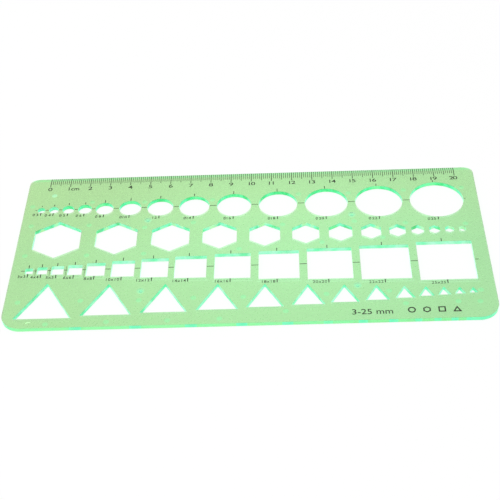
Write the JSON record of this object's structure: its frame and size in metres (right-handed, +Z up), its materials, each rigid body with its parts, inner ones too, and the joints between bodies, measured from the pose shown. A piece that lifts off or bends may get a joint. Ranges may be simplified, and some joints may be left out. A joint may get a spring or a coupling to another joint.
{
  "type": "drafting template",
  "caption": "Flat see-through green plastic drafting template with rows of graded circles, hexagons, squares and triangles and a bevelled centimetre scale edge.",
  "frame": {"origin": "under the middle of the plate, on the surface that it lies on", "axes": "+X along the scale towards its high end, +Y towards the scale edge, +Z up from the paper"},
  "size_m": [0.22, 0.105, 0.0021],
  "materials": {
    "green_plastic": "clear light green moulded plastic with brighter mint edges",
    "print_ink": "thin dark olive printed ink"
  },
  "bodies": {
    "root": {"template_plate": "green_plastic", "centimetre_mark_00": "print_ink", "centimetre_mark_01": "print_ink", "centimetre_mark_02": "print_ink", "centimetre_mark_03": "print_ink", "centimetre_mark_04": "print_ink", "centimetre_mark_05": "print_ink", "centimetre_mark_06": "print_ink", "centimetre_mark_07": "print_ink", "centimetre_mark_08": "print_ink", "centimetre_mark_09": "print_ink", "centimetre_mark_10": "print_ink", "centimetre_mark_11": "print_ink", "centimetre_mark_12": "print_ink", "centimetre_mark_13": "print_ink", "centimetre_mark_14": "print_ink", "centimetre_mark_15": "print_ink", "centimetre_mark_16": "print_ink", "centimetre_mark_17": "print_ink", "centimetre_mark_18": "print_ink", "centimetre_mark_19": "print_ink", "centimetre_mark_20": "print_ink", "circle_row_dash_00": "print_ink", "circle_row_dash_01": "print_ink", "circle_row_dash_02": "print_ink", "circle_row_dash_03": "print_ink", "circle_row_dash_04": "print_ink", "circle_row_dash_05": "print_ink", "circle_row_dash_06": "print_ink", "circle_row_dash_07": "print_ink", "circle_row_dash_08": "print_ink", "circle_row_dash_09": "print_ink", "circle_row_dash_10": "print_ink", "circle_row_dash_11": "print_ink", "circle_row_dash_12": "print_ink", "circle_row_dash_13": "print_ink", "square_row_dash_00": "print_ink", "square_row_dash_01": "print_ink", "square_row_dash_02": "print_ink", "square_row_dash_03": "print_ink", "square_row_dash_04": "print_ink", "square_row_dash_05": "print_ink", "square_row_dash_06": "print_ink", "square_row_dash_07": "print_ink", "square_row_dash_08": "print_ink", "square_row_dash_09": "print_ink", "square_row_dash_10": "print_ink", "square_row_dash_11": "print_ink", "square_row_dash_12": "print_ink", "square_row_dash_13": "print_ink"}
  },
  "joints": []
}
